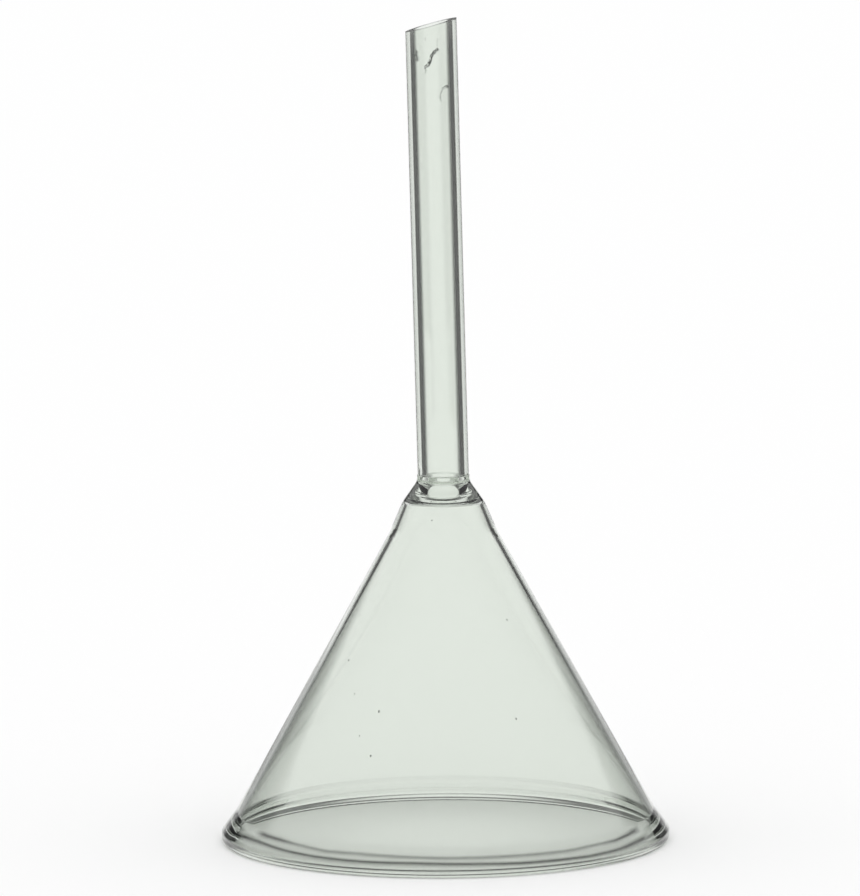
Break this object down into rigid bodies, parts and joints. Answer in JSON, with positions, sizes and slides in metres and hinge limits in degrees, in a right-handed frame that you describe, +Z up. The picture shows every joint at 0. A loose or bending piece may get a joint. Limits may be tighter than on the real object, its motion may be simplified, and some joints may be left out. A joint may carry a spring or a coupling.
{
  "type": "conical glass filter funnel",
  "caption": "Conical glass filter funnel with a flared, beaded rim, a thick shoulder and a plain tube stem that leans a little and is cut aslant at its tip, standing mouth down.",
  "frame": {"origin": "middle of the mouth, on the plane that the rim rests on", "axes": "+Z up along the axis of the cone, +X towards the high side of the slanted tip; the stem leans 1.2 degrees towards -X"},
  "size_m": [0.07, 0.07, 0.1286],
  "materials": {
    "glass": "clear hand-worked soda-lime glass, greenish grey in its thick edges, fire-polished rim and ground slanted tip"
  },
  "bodies": {
    "root": {"funnel": "glass"}
  },
  "joints": []
}
